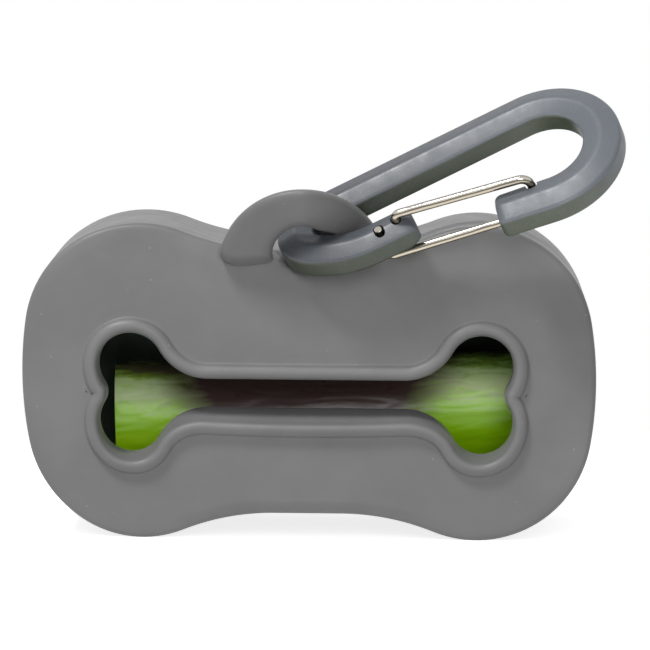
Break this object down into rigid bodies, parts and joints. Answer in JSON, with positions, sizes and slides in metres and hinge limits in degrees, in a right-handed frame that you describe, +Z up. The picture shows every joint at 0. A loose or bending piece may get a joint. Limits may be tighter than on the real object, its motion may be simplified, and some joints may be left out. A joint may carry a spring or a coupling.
{
  "type": "waste bag dispenser",
  "caption": "Bone-shaped silicone pouch with a beaded mouth for a roll of waste bags, hung by a moulded loop from a snap hook with a bent wire gate.",
  "frame": {"origin": "centre of the pouch's flat back face", "axes": "+Z up towards the loop, +X to the right as seen from the front, +Y out of the back face, so the front with the mouth looks along -Y"},
  "size_m": [0.0963, 0.0497, 0.0732],
  "materials": {
    "silicone": "satin",
    "card": "matte",
    "film": "glossy",
    "hook_plastic": "satin",
    "spring_wire": "polished"
  },
  "bodies": {
    "pouch": {"pouch": "silicone"},
    "roll": {"roll_core": "card", "bag_roll": "film", "lead_bag": "film"},
    "hook": {"hook_frame": "hook_plastic"},
    "gate": {"wire_gate": "spring_wire"}
  },
  "joints": [
    {"name": "roll_spin", "type": "hinge", "parent": "pouch", "child": "roll", "pos_m": [0.0008, -0.0129, -0.00773], "axis": [0.9992, 0, 0.0401], "continuous": true},
    {"name": "clip_swing", "type": "hinge", "parent": "pouch", "child": "hook", "pos_m": [-0.0012, -0.03791, 0.02107], "axis": [0.3227, -0.765, -0.5574], "range_deg": [0, 62]},
    {"name": "gate_swing", "type": "hinge", "parent": "hook", "child": "gate", "pos_m": [0.01307, -0.04147, 0.02416], "axis": [-0.3117, -0.6419, 0.7006], "range_deg": [0, 24], "stiffness_Nm_per_rad": 0.05, "springref_deg": -5.73}
  ]
}
